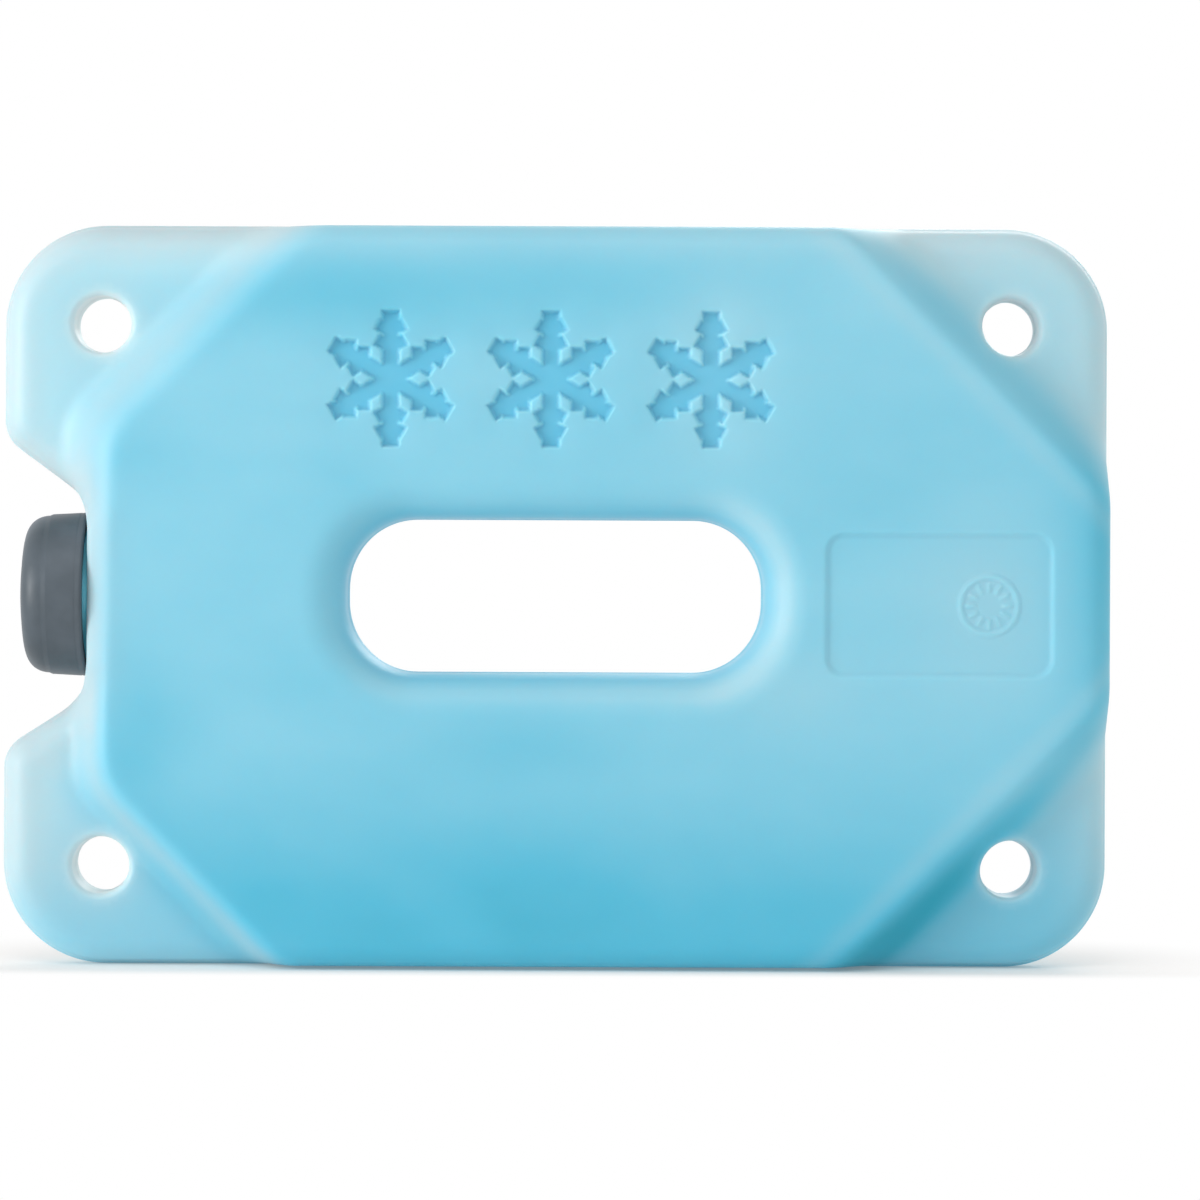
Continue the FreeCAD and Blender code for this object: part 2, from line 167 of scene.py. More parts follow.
bottle = dict(
    cornerRadius=18.8, notchDepth=16.25, mouthHigh=28.7, mouthLow=-28.4, floorHigh=16.8, floorLow=-18,
    mouthRadius=6.5, floorRadiusHigh=11, floorRadiusLow=13,
    slotLength=76, slotWidth=28, slotEndFlat=2.5, holeDiameter=10, holeInset=18.4,
    rimRadius=5, slotLip=7.5, holeLip=1.2, rimDraft=0.4, holeDraft=0.12, seam=0.12, seamHalfWidth=0.35,
    cornerHalfThick=6.5, slopeLeft=52, slopeLow=61, slopeRight=49.3, lowFrom=-6, lowTo=-22,
    faceRight=33.7, faceLeft=63.7, faceLeftDown=1.9, wallRidgeInset=3, meetingLeft=4, meetingRight=1,
    ridgeSoftRight=1.3, ridgeSoftLeft=3.2, ridgeSoftLow=1.4, footSoft=2.2,
    seatStep=2.1, seatSlope=24, seatFull=12.5, seatEnd=17.5, seatReach=12, seatBelow=0.1, seatSoft=0.8,
    seatLip=0.8, seatDraft=0.05, lipFull=10, lipEnd=25, sink=0.22, hollowTurn=1.5, ripple=0.07,
    frontStep=1.05, backStep=1.35, fineStep=0.42, rimRows=8, wallRows=3, loopStep=0.9, holeStep=0.63)
wallX = bottle["notchDepth"] - halfLength
wallRidgeX = wallX + bottle["wallRidgeInset"]
holeX, holeZ = halfLength - bottle["holeInset"], halfHeight - bottle["holeInset"]


def clampedArea(u):
    # area under a line that climbs from 0 to 1 between u = 0 and u = 1 and then stays at 1
    return np.clip(u, 0, 1) ** 2 / 2 + np.maximum(u - 1, 0)


def softMax(a, b, reach):
    # larger of two fields, with a parabola over the crease where they differ by less than reach
    return np.maximum(a, b) + np.clip(1 - np.abs(a - b) / reach, 0, 1) ** 2 * reach / 4


def smoothStep(low, high, value):
    # 0 up to low and 1 from high on, with 3 t^2 - 2 t^3 between them; low may be the larger of the two
    t = np.clip((value - low) / (high - low), 0, 1)
    return t * t * (3 - 2 * t)


def ridgeDistance(across, up):
    # Signed distance outwards from the ridge lines: at 45 degrees over the corners, upright by the wall.
    right = (np.abs(up) - bottle["faceRight"] / 2 + across - halfLength) * math.sqrt(0.5)
    left = np.abs(up + bottle["faceLeftDown"]) - bottle["faceLeft"] / 2
    left = (left - across + wallRidgeX) * math.sqrt(0.5)
    left = softMax(left, wallRidgeX - across, bottle["meetingLeft"])
    return softMax(left, right, bottle["meetingRight"])


def cornerDrop(across, up):
    # Straight slope from the thick face to the thin corner, rounded at its top and foot by parabolas.
    # It is steeper and its ridge crisper at the lower left than at the upper left.
    b = bottle
    depth = halfThick - b["cornerHalfThick"]
    low = smoothStep(b["lowFrom"], b["lowTo"], up)
    slopeLeft = b["slopeLeft"] + (b["slopeLow"] - b["slopeLeft"]) * low
    softLeft = b["ridgeSoftLeft"] + (b["ridgeSoftLow"] - b["ridgeSoftLeft"]) * low
    climb = np.tan(np.radians(np.where(across < 0, slopeLeft, b["slopeRight"])))
    distance = ridgeDistance(across, up)
    top = np.where(across < 0, softLeft, b["ridgeSoftRight"])
    foot = b["footSoft"]
    begun = 2 * top * clampedArea((distance + top) / (2 * top))
    ended = 2 * foot * clampedArea((distance - depth / climb + foot) / (2 * foot))
    return climb * (begun - ended)


# ripples of the wall, each a product of two sines: its strength, and for both sines how fast they turn
# along u and along v and where they start
ripples = ((1, (9.1, 1.3, 0.4), (-2.1, 6.3, 1.1)), (0.5, (17.3, -5.2, 2.0), (3.7, 11.9, 0)))


def panelSink(across, up):
    # Shallow hollows that a blown wall takes as it cools, deepest at the pack's ends and half way from its
    # middle to its top and foot, plus slow ripples. The ripples' strengths are added to them, so that no
    # point comes above the face.
    u, v = across / halfLength, up / halfHeight
    hollow = np.cos(u * bottle["hollowTurn"]) * (0.5 + 0.5 * np.cos(v * 2 * math.pi))
    wave = 0
    for strength, one, other in ripples:
        first = np.sin(one[0] * u + one[1] * v + one[2])
        second = np.sin(other[0] * u + other[1] * v + other[2])
        wave = wave + strength * first * second
    most = sum(strength for strength, _, _ in ripples)
    return bottle["sink"] * (1 - hollow) + bottle["ripple"] * (most + wave)


def besideNeck(up, full, end):
    # 1 beside the neck, falling to 0 above and below it between two heights
    return 1 - smoothStep(full, end, np.abs(up))


def withSeat(thickness, across, up):
    # The neck's seat: a slope that rises inwards from the wall, where it is thicker than what is round it.
    b = bottle
    seat = halfThick - b["seatStep"] + (across - wallX) * math.tan(math.radians(b["seatSlope"]))
    raised = softMax(thickness, np.minimum(seat, halfThick - b["seatBelow"]), b["seatSoft"])
    share = besideNeck(up, b["seatFull"], b["seatEnd"]) * (across < wallX + b["seatReach"])
    return np.minimum(thickness + (raised - thickness) * share, halfThick)


emblem = dict(flakes=3, spacing=29, middle=-1, up=39.4, armLength=12.3, armHalf=1.5, twigHalf=1.05,
              twigs=((5.6, 2.9), (8.5, 2.7)), depth=1.25, wall=0.55, halo=0.2, haloReach=2.6)
label = dict(length=40.7, height=25.7, radius=3.3, inset=32, drop=1.3, depth=0.6, wall=1.2,
             ringAcross=9, ringRadius=5.2, ringHalf=0.45, ticks=12, tickHalf=0.28, tickInner=2.5,
             tickOuter=4.2, raised=0.25, raisedWall=0.35)


def boxDistance(x, y):
    # distance to the quarter plane below and left of the origin: straight to a side, or to its corner
    return np.hypot(np.maximum(x, 0), np.maximum(y, 0)) + np.minimum(np.maximum(x, y), 0)


def barDistance(x, y, x1, y1, angle, length, half):
    # distance to a bar with square ends that leaves (x1, y1) at an angle
    along = (x - x1) * math.cos(angle) + (y - y1) * math.sin(angle)
    aside = (y - y1) * math.cos(angle) - (x - x1) * math.sin(angle)
    return boxDistance(np.abs(along - length / 2) - length / 2, np.abs(aside) - half)


def flakeDistance(across, up):
    # Six arms folded onto one by the angle: each has two twigs at 60 degrees. Negative inside the flake.
    radius, angle = np.hypot(across, up), np.arctan2(across, up)
    sixth = math.pi / 3
    folded = np.abs((angle + sixth / 2) % sixth - sixth / 2)
    along, aside = radius * np.cos(folded), radius * np.sin(folded)
    nearest = barDistance(along, aside, 0, 0, 0, emblem["armLength"], emblem["armHalf"])
    for root, length in emblem["twigs"]:
        twig = barDistance(along, aside, root, 0, sixth, length, emblem["twigHalf"])
        nearest = np.minimum(nearest, twig)
    return nearest


def emblemDistance(across, up):
    # the row of flakes above the slot
    nearest = np.full(np.shape(across), 1e3)
    for k in range(emblem["flakes"]):
        middle = emblem["middle"] + (k - (emblem["flakes"] - 1) / 2) * emblem["spacing"]
        nearest = np.minimum(nearest, flakeDistance(across - middle, up - emblem["up"]))
    return nearest


def labelPlace(across, up):
    # a place counted from the middle of the label panel
    return across - (halfLength - label["inset"]), up + label["drop"]


def labelDistance(across, up):
    # rounded rectangle: distance to the inner rectangle, less the corner radius
    x, y = labelPlace(across, up)
    x = np.abs(x) - label["length"] / 2 + label["radius"]
    y = np.abs(y) - label["height"] / 2 + label["radius"]
    return boxDistance(x, y) - label["radius"]


def dialDistance(across, up):
    # plain ring with short ticks inside, as mould makers stamp them
    x, y = labelPlace(across, up)
    x = x - label["ringAcross"]
    ring = np.abs(np.hypot(x, y) - label["ringRadius"]) - label["ringHalf"]
    radius, angle = np.hypot(x, y), np.arctan2(x, y)
    share = 2 * math.pi / label["ticks"]
    folded = (angle + share / 2) % share - share / 2
    tick = barDistance(radius * np.cos(folded), radius * np.sin(folded), label["tickInner"], 0, 0,
                       label["tickOuter"] - label["tickInner"], label["tickHalf"])
    return np.minimum(ring, tick)


def moulded(distance, wall):
    # 1 inside a shape and 0 outside, with a soft wall of the given width centred on its outline
    return 1 - smoothStep(-wall / 2, wall / 2, distance)


def frontRelief(across, up):
    # what the front has beyond the back: the sunk flakes and the sunk panel with its raised dial
    flake = emblemDistance(across, up)
    relief = emblem["depth"] * moulded(flake, emblem["wall"])
    relief = relief + emblem["halo"] * np.exp(-(np.maximum(flake, 0) / emblem["haloReach"]) ** 2)
    relief = relief + label["depth"] * moulded(labelDistance(across, up), label["wall"])
    return relief - label["raised"] * moulded(dialDistance(across, up), label["raisedWall"])


def halfThickness(across, up, front):
    # from the middle plane to the surface: half the thickness less the slopes, the hollows and the relief
    thickness = withSeat(halfThick - cornerDrop(across, up), across, up) - panelSink(across, up)
    return thickness - frontRelief(across, up) if front else thickness


squareCorners = ((-1, -1), (1, -1), (1, 1), (-1, 1))


def openingLoop(middle, halfAcross, halfUp, radius, step, lip):
    # one opening, a rectangle with rounded corners: what bottleLoops gives for each loop
    corners = [(middle[0] + x * halfAcross, middle[1] + z * halfUp, radius) for x, z in squareCorners]
    points, normals = roundedLoop(corners, step)
    even = np.ones(len(points))
    return points, normals, lip * even, bottle["holeDraft"] * even


def bottleLoops():
    # The rim, the slot and the holes: points, directions from the wall into the material, lips and drafts.
    b = bottle
    corners = [(x * halfLength, z * halfHeight, b["cornerRadius"]) for x, z in squareCorners]
    corners += [(-halfLength, b["mouthHigh"], b["mouthRadius"]),
                (wallX, b["floorHigh"], b["floorRadiusHigh"]),
                (wallX, b["floorLow"], b["floorRadiusLow"]),
                (-halfLength, b["mouthLow"], b["mouthRadius"])]
    points, normals = roundedLoop(corners, b["loopStep"])
    atNeck = besideNeck(points[:, 1], b["lipFull"], b["lipEnd"]) * (points[:, 0] < -halfLength / 2)
    lip = b["rimRadius"] + (b["seatLip"] - b["rimRadius"]) * atNeck
    draft = b["rimDraft"] + (b["seatDraft"] - b["rimDraft"]) * atNeck
    halfWidth, radius = b["slotWidth"] / 2, b["holeDiameter"] / 2
    slot = openingLoop((0, 0), b["slotLength"] / 2, halfWidth, halfWidth - b["slotEndFlat"] / 2,
                       b["loopStep"], b["slotLip"])
    places = [(side * holeX, level * holeZ) for side in (-1, 1) for level in (-1, 1)]
    holes = [openingLoop(place, radius, radius, radius, b["holeStep"], b["holeLip"]) for place in places]
    return [(points, -normals, lip, draft), slot] + holes


blockRows = 4000  # so many points at a time are compared with a whole loop


def insideLoop(points, loop):
    # a point is inside if the line from it to the right crosses the loop an odd number of times
    x1, y1 = loop[:, 0], loop[:, 1]
    x2, y2 = np.roll(x1, -1), np.roll(y1, -1)
    result = np.zeros(len(points), bool)
    for first in range(0, len(points), blockRows):
        block = points[first:first + blockRows]
        x, y = block[:, 0:1], block[:, 1:2]
        spans = (y1 > y) != (y2 > y)
        crossing = x1 + (y - y1) * (x2 - x1) / np.where(y2 == y1, 1, y2 - y1)
        result[first:first + blockRows] = (spans & (x < crossing)).sum(1) % 2
    return result


def nearestDistance(points, targets):
    # from each point to the nearest of the targets
    result = np.empty(len(points))
    for first in range(0, len(points), blockRows):
        block = points[first:first + blockRows, None]
        result[first:first + blockRows] = np.sqrt(((block - targets) ** 2).sum(2).min(1))
    return result


def lattice(step, wideAcross, wideUp):
    # rows of points at the corners of equal triangles
    rise = step * math.sqrt(0.75)
    wide, high = int(wideAcross / step) + 1, int(wideUp / rise)
    row, column = np.meshgrid(np.arange(-high, high + 1), np.arange(-wide, wide + 1), indexing="ij")
    return np.stack([(column + 0.5 * (row % 2)) * step, row * rise], -1).reshape(-1, 2)


def snapTo(points, field, level, reach):
    # moves points that lie near a level line of a distance field onto it, along the field's slope
    eps = 0.01
    across, up = points[:, 0], points[:, 1]
    value = field(across, up) - level
    slopeX = (field(across + eps, up) - field(across - eps, up)) / (2 * eps)
    slopeY = (field(across, up + eps) - field(across, up - eps)) / (2 * eps)
    move = np.where(np.abs(value) < reach, value, 0)
    return points - np.stack([move * slopeX, move * slopeY], 1)


# how far the fine points reach round the outlines, in millimetres, and in shares of a step the room
# round the rings and the reach within which a point is moved onto an outline
detail = dict(flakeInside=0.3, flake=1.6, panel=1.1, dial=0.8, ringRoom=0.6, snap=0.3)


def nearDetail(points):
    # true about the outlines of the flakes and the panel, and on and about the dial
    across, up = points[:, 0], points[:, 1]
    flake = np.abs(emblemDistance(across, up) + detail["flakeInside"]) < detail["flake"]
    panel = np.abs(labelDistance(across, up)) < detail["panel"]
    return flake | panel | (dialDistance(across, up) < detail["dial"])


def facePoints(front, rings):
    # lattice points clear of every ring, finer on the front about flakes, panel edge and dial
    step = bottle["frontStep"] if front else bottle["backStep"]
    loose = lattice(step, halfLength, halfHeight)
    if front:
        fine = lattice(bottle["fineStep"], halfLength, halfHeight)
        fine = fine[nearDetail(fine)]
        for field, wall in ((emblemDistance, emblem["wall"]), (labelDistance, label["wall"])):
            for level in (-wall / 2, wall / 2):
                fine = snapTo(fine, field, level, bottle["fineStep"] * detail["snap"])
        loose = np.concatenate([loose[~nearDetail(loose)], fine])
    clear = nearestDistance(loose, np.concatenate(rings)) > step * detail["ringRoom"]
    clear &= insideLoop(loose, rings[0])
    for ring in rings[1:]:
        clear &= ~insideLoop(loose, ring)
    return loose[clear]


def faceSheet(front, rings):
    # one face between the rounded rims: the rings and the lattice points joined into triangles
    loose = facePoints(front, rings)
    points = np.concatenate(rings + [loose])
    edges, first = [], 0
    for ring in rings:
        edges += [(first + k, first + (k + 1) % len(ring)) for k in range(len(ring))]
        first += len(ring)
    made = delaunay_2d_cdt([Vector(p) for p in points], edges, [], 0, 1e-4, False)
    points = snapped(np.array([tuple(p) for p in made[0]]))
    faces = np.array(made[2])
    middle = points[faces].mean(1)
    keep = insideLoop(middle, rings[0])
    for ring in rings[1:]:
        keep &= ~insideLoop(middle, ring)
    return points, faces[keep]


def rimProfile(lip, draft):
    # rows from the face to the wall, a quarter round: how far in from the wall and how far below the face
    turn = np.linspace(0, math.pi / 2, bottle["rimRows"])[:, None]
    inset = draft + bottle["seam"] + lip * (1 - np.sin(turn))
    return inset, lip * (1 - np.cos(turn))


# where the shell's milky tone, its bare plastic and its painted light and shade lie
hazeAndPaintedLight = dict(
    base=0.44,
    # a share that fades in across the pack, from the first place to the second, in halves of its length
    left=(0.3, -0.7), rightEnd=(0.6, 0.9),
    # the same up the pack, in halves of its height
    upper=(-0.2, 0.4), lower=(0.2, -0.4), foot=(-0.68, -0.95), low=(-0.35, -0.95), high=(0.80, 0.98),
    aboveMiddle=(0, 0.6), aboveFoot=(-0.9, -0.55), paintedShadeLowEdge=(-0.5, -0.95), lowRight=(-0.3, -0.9),
    paintedLightTopEdge=(0.86, 0.97), besideCap=(0.6, 0.3),
    # the same round the slot, in millimetres: its right end, its lower lip and that lip's ends
    lipRight=(20, 40), lipLow=(4, -12), lipEnds=(45, 30), lipLowShare=0.5,
    # distance in millimetres at which a feature is strongest, and how far it spreads from there
    cornerRim=(0, 10), cornerEdge=(0, 3), paintedShadeRightRim=(0, 9), ridge=(0, 1.6), paintedShadeSlopeFoot=(-1, 2.6),
    paintedHighlightBand=(-3, 2), paintedHighlightStreak=(2.1, 1.8), paintedShadeLowRightSlope=(3.5, 3.5), paintedLightHoleWall=(0, 1.1), holeRim=(0, 2.5), holeBare=(0, 4),
    paintedShadeSlotRim=(0, 1.3), wall=(0, 6), lipLight=(3.4, 2.4), bareReach=9, bareReachLess=4,
    # how much of the pale rims is lost at the foot, as painted shade, and how strong the painted glow of
    # the hole walls is at the right and left
    paintedShadeFootRim=0.9, paintedShadeFootBare=0.8, paintedGlowRight=0.2, paintedGlowLeft=1.0)
# what each feature adds where it is strongest: how much milkier, how much barer. Painted shade deepens
# the tone towards the foot, on the slopes, at the right end's rim, at the lower left slope's foot, on the
# lower right slope and at the slot's edge; painted light pales it towards the top, at the top edge, on the
# left ridges and slopes, in a band and a streak on the ridges, on the hole walls, on the slot's lit lips
# and beside the cap, where the tone is also deepened.
hazeAndPaintedLightShares = dict(
    low=(-0.20, 0), high=(0.06, 0), paintedLightTopEdge=(0, 0.2), corner=(0.08, 0.15), cornerAcross=(-0.06, 0),
    cornerUp=(0.04, 0), cornerUpperRight=(0.08, 0), cornerLowerLeft=(0.10, 0), cornerUpperLeft=(0, -0.10),
    slopeRight=(-0.13, 0), slopeLeft=(-0.12, 0), paintedLightSlopeUpperLeft=(0, 0.55), paintedLightSlopeLowerLeft=(0, 0.10),
    cornerRim=(0.16, 0), cornerRimAcross=(-0.06, 0), cornerEdge=(0.08, 0), paintedShadeLowEdge=(-0.04, 0),
    bareRim=(0, 0.35), bareRimLeft=(0, 0.5), paintedShadeRightRim=(-0.20, 0), paintedHighlightRidgeLeft=(0.04, 0),
    paintedShadeSlopeFoot=(-0.12, 0), paintedShadeLowRightSlope=(-0.16, -0.3), paintedHighlightBand=(0.03, 0.15), paintedHighlightStreak=(0.05, 0.4), paintedLightHoleWall=(0.3, 0.45),
    holeRim=(0.06, 0), holeBare=(0, 0.3), paintedShadeSlotRim=(-0.12, 0), wall=(-0.14, 0), paintedPaleBesideCap=(0, 0.5),
    lipLight=(0.14, 0.35))
# soft patches of the haze: across, up, half width, half height, how much milkier, how much barer
patches = ((-41, 55, 36, 8, -0.15, 0), (18, 57, 30, 7, -0.06, 0), (-76, -27, 9, 14, -0.13, 0),
           (-76, 27, 9, 9, -0.05, 0), (-6, -57, 45, 12, -0.06, 0), (54, 54, 13, 9, 0.05, 0),
           (30, 42, 10, 16, 0.10, 0.12), (77, -1, 12, 14, 0.05, 0.22), (44, -17, 14, 9, 0.06, 0.10),
           (-70, -33, 14, 9, 0.05, 0), (0, -28, 22, 5, -0.05, 0), (-40, 22, 9, 10, -0.05, 0))


def spread(distance, peak, reach):
    # 1 at the peak, falling to 1 / e at the reach on both sides of it
    return np.exp(-((distance - peak) / reach) ** 2)


def bottleToneAndPaintedLight(across, up, rim, slot, hole):
    # How milky the shell looks, 0 where the filling is deep and 1 where it is pale, how bare and pale the
    # plastic is, and a painted glow on the hole walls. Each of the first two is the sum of share times
    # field.
    # The milk rises over the thin corners and at their rims, and the plastic is barest at those rims and
    # round the holes. Painted shade deepens the tone towards the foot, on the slopes, most on the lower
    # right one, at the right end's rim, at the lower left slope's foot and at the slot's edge. Painted
    # light makes the shell paler towards the top, on the left ridges and slopes, in a band inside the
    # right-hand ridges, in a streak on the lower left slope, on the hole walls, on the slot's right and
    # lower lips and, with a deeper tone, beside the cap.
    h = hazeAndPaintedLight
    v, u = up / halfHeight, across / halfLength
    left = smoothStep(*h["left"], u)
    right = 1 - left
    upper, lower = left * smoothStep(*h["upper"], v), left * smoothStep(*h["lower"], v)
    foot = smoothStep(*h["foot"], v)
    depth = halfThick - bottle["cornerHalfThick"]
    thin = np.clip(cornerDrop(across, up) / depth, 0, 1)
    thick = 1 - thin
    slope = 4 * thin * thick
    ridge = ridgeDistance(across, up)
    slopeRun = depth / math.tan(math.radians(bottle["slopeLeft"]))
    # painted shade: the pale rims are mostly taken away towards the foot
    cornerRim = thin * (1 - h["paintedShadeFootRim"] * foot) * spread(rim, *h["cornerRim"])
    bareReach = h["bareReach"] - h["bareReachLess"] * upper
    bareRim = thin * (1 - h["paintedShadeFootBare"] * foot) * spread(rim, 0, bareReach)
    paintedLightHoleWall = thin * spread(hole, *h["paintedLightHoleWall"])
    # painted light band beside the cap, along the left end's rim
    wall = left * smoothStep(*h["besideCap"], np.abs(v)) * spread(rim, *h["wall"])
    # painted light on the slot's right and lower lips, which face the lamps
    lowLip = smoothStep(*h["lipLow"], up) * smoothStep(*h["lipEnds"], np.abs(across))
    facing = np.clip(smoothStep(*h["lipRight"], across) + h["lipLowShare"] * lowLip, 0, 1)
    fields = dict(
        # painted shade deepens the tone towards the foot and painted light pales it towards the top
        low=smoothStep(*h["low"], v), high=smoothStep(*h["high"], v),
        # painted light on the top edge
        paintedLightTopEdge=thick * smoothStep(*h["paintedLightTopEdge"], v),
        corner=thin, cornerAcross=thin * u, cornerUp=thin * v, cornerUpperLeft=thin * upper,
        cornerUpperRight=thin * right * smoothStep(*h["aboveMiddle"], v),
        cornerLowerLeft=thin * lower * smoothStep(*h["aboveFoot"], v),
        # the slopes painted by the side they face: deeper tone on all, paler plastic on the left ones
        slopeRight=slope * right, slopeLeft=slope * left,
        paintedLightSlopeUpperLeft=slope * upper, paintedLightSlopeLowerLeft=slope * lower,
        cornerRim=cornerRim, cornerRimAcross=cornerRim * u,
        cornerEdge=thin * spread(rim, *h["cornerEdge"]),
        # painted shade on the lower rim
        paintedShadeLowEdge=smoothStep(*h["paintedShadeLowEdge"], v) * spread(rim, *h["cornerEdge"]),
        bareRim=bareRim, bareRimLeft=bareRim * left,
        # painted shade on the rim of the right end
        paintedShadeRightRim=thick * smoothStep(*h["rightEnd"], u) * spread(rim, *h["paintedShadeRightRim"]),
        # painted highlight on the left ridges
        paintedHighlightRidgeLeft=left * spread(ridge, *h["ridge"]),
        # painted shade at the lower left slope's foot and on the lower right slope
        paintedShadeSlopeFoot=lower * spread(ridge - slopeRun, *h["paintedShadeSlopeFoot"]),
        paintedShadeLowRightSlope=right * smoothStep(*h["lowRight"], v) * spread(ridge, *h["paintedShadeLowRightSlope"]),
        # painted highlights in a band inside the right-hand ridges and a streak on the lower left slope
        paintedHighlightBand=right * spread(ridge, *h["paintedHighlightBand"]), paintedHighlightStreak=lower * spread(ridge, *h["paintedHighlightStreak"]),
        # painted light on the hole walls
        paintedLightHoleWall=paintedLightHoleWall, holeRim=spread(hole, *h["holeRim"]),
        holeBare=thin * left * spread(hole, *h["holeBare"]),
        # painted shade at the slot's edge and painted light on its right and lower lips
        paintedShadeSlotRim=spread(slot, *h["paintedShadeSlotRim"]), lipLight=facing * spread(slot, *h["lipLight"]),
        # painted light beside the cap: deeper tone, paler plastic
        wall=wall, paintedPaleBesideCap=thick * wall)
    tone, bare = h["base"] + 0 * u, 0 * u
    for name, (milkier, barer) in hazeAndPaintedLightShares.items():
        tone, bare = tone + milkier * fields[name], bare + barer * fields[name]
    for px, py, wide, high, milkier, barer in patches:
        patch = spread(across, px, wide) * spread(up, py, high)
        tone, bare = tone + milkier * patch, bare + barer * patch
    # painted glow: emission that lights the hole walls, strongest round the left holes
    glow = paintedLightHoleWall * (h["paintedGlowRight"] * right + h["paintedGlowLeft"] * left)
    return np.clip(tone, 0, 1), np.clip(bare, 0, 1), glow


def makeBottle():
    # Both faces, and for each of them round every loop the rounded lip and the wall down to the parting
    # ridge. Each point carries its tone with painted shade, its bareness with painted light, its painted
    # glow and how far it lies in a sunk flake.
    b = bottle
    loops = bottleLoops()
    rimPoints, slotPoints = loops[0][0], loops[1][0]
    holePoints = np.concatenate([loop[0] for loop in loops[2:]])

    def dressed(points, faces, out):
        rim, slot, hole = (nearestDistance(points, edge) for edge in (rimPoints, slotPoints, holePoints))
        across, up = points[:, 0], points[:, 1]
        tone, bare, glow = bottleToneAndPaintedLight(across, up, rim, slot, hole)
        sunk = np.where(out < 0, moulded(emblemDistance(across, up), emblem["wall"]), 0)
        place = np.stack([across, out, up + halfHeight], 1)
        return place, faces, np.stack([tone, sunk, bare, glow], 1)

    sheets = []
    rows = [(*loop, *rimProfile(*loop[2:])) for loop in loops]
    rings = [snapped(points + into * inset[0, :, None]) for points, into, _, _, inset, _ in rows]
    share = np.linspace(1, 0, b["wallRows"] + 1)[1:-1, None]
    for front in (True, False):
        sign = -1 if front else 1
        points, faces = faceSheet(front, rings)
        sheets.append(dressed(points, faces, sign * halfThickness(points[:, 0], points[:, 1], front)))
        for (points, into, _, draft, inset, drop), first in zip(rows, rings):
            ring = points + into * inset[..., None]
            ring[0] = first
            out = halfThickness(ring[..., 0], ring[..., 1], front) - drop
            # the wall with its draft, then the side and the crest of the ridge
            level = np.full((1, len(points)), b["seamHalfWidth"])
            wallOut = np.concatenate([level + (out[-1:] - level) * share, level, 0 * level])
            wallInset = np.concatenate([b["seam"] + draft * share, b["seam"] + 0 * level, 0 * level])
            ring = np.concatenate([ring, points + into * wallInset[..., None]])
            out = np.concatenate([out, wallOut])
            sides = gridFaces(len(ring), len(points))
            sheets.append(dressed(ring.reshape(-1, 2), sides, sign * out.ravel()))
    return sheets


neck = dict(radius=12.7, rootDepth=7, edgeRound=0.4, segments=128, tone=0.25)


def makeNeck():
    # filler neck, spun about the long axis and rooted inside the bottle
    n = neck
    end, r = sealHigh.x / mm, n["edgeRound"]
    root = wallX + n["rootDepth"]
    profile = np.concatenate([
        [(root, 0.0), (root, n["radius"])],
        arcRows((end + r, n["radius"] - r), r, 90, 180, 5), [(end, 0.0)]])
    points, faces = spunSheet(profile, n["segments"], halfHeight)
    return points, faces, np.tile([n["tone"], 0.0, 0.0, 0.0], (len(points), 1))


shell = putMesh("pack_shell", makeBottle() + [makeNeck()], ("tone", "sunk", "bare", "glow"))
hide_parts("pack_body")
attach(shell, "root")
print("bottle made")


cap = dict(bore=13.0, topWall=3.0, crown=0.9, taper=0.6, endRound=3.7, endStretch=1.25, endPower=2.3,
           rimRound=0.5, grooveAt=1.2, grooveHalf=0.14, grooveDepth=0.06, boreRound=0.4, segments=160,
           skirtRows=40, shoulderRows=26, domeRows=16)


def makeCap():
    # Cup spun about the long axis: rim, fine groove, tapered skirt, rounded shoulder, domed end, bore.
    c = cap
    rimX, endX, rimR = capHigh.x / mm, capLow.x / mm, (capHigh.y - capLow.y) / 2 / mm
    endR, edgeX = rimR - c["taper"], endX + c["crown"]
    rise = (rimR - endR) / (rimX - edgeX)
    skirt = np.linspace(rimX - c["rimRound"], edgeX + c["endRound"], c["skirtRows"])
    skirtR = rimR - rise * (rimX - skirt)
    skirtR = skirtR - c["grooveDepth"] * np.exp(-((rimX - c["grooveAt"] - skirt) / c["grooveHalf"]) ** 2)
    # the shoulder is a quarter of a curve |x|^p + |y|^p = 1, which meets skirt and dome with no crease
    turn = np.linspace(0, 1, c["shoulderRows"])[1:-1] * math.pi / 2
    bulge = c["endRound"] * c["endStretch"]
    shoulder = np.stack([edgeX + bulge * (1 - np.sin(turn) ** (2 / c["endPower"])),
                         endR - bulge * (1 - np.cos(turn) ** (2 / c["endPower"]))], 1)
    skirt = skirt[skirt > edgeX + bulge]
    skirtR = skirtR[:len(skirt)]
    innerR = shoulder[-1, 1]
    domeR = np.linspace(innerR, 0, c["domeRows"])[1:]
    domeX = endX + (shoulder[-1, 0] - endX) * (domeR / innerR) ** 2
    ceiling = endX + c["topWall"]
    b = c["boreRound"]
    profile = np.concatenate([
        arcRows((rimX - b, c["bore"] + b), b, 270, 360, 5),
        arcRows((rimX - c["rimRound"], rimR - c["rimRound"]), c["rimRound"], 0, 90, 6),
        np.stack([skirt, skirtR], 1)[1:-1], shoulder, np.stack([domeX, domeR], 1),
        [(ceiling, 0.0)], [(ceiling, c["bore"])]])
    return (*spunSheet(np.concatenate([profile, profile[:1]]), c["segments"], halfHeight), None)


capPiece = putMesh("screw_cap", [makeCap()])
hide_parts("filler_cap")
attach(capPiece, "root")

seal = dict(edgeRound=0.25, segments=96)


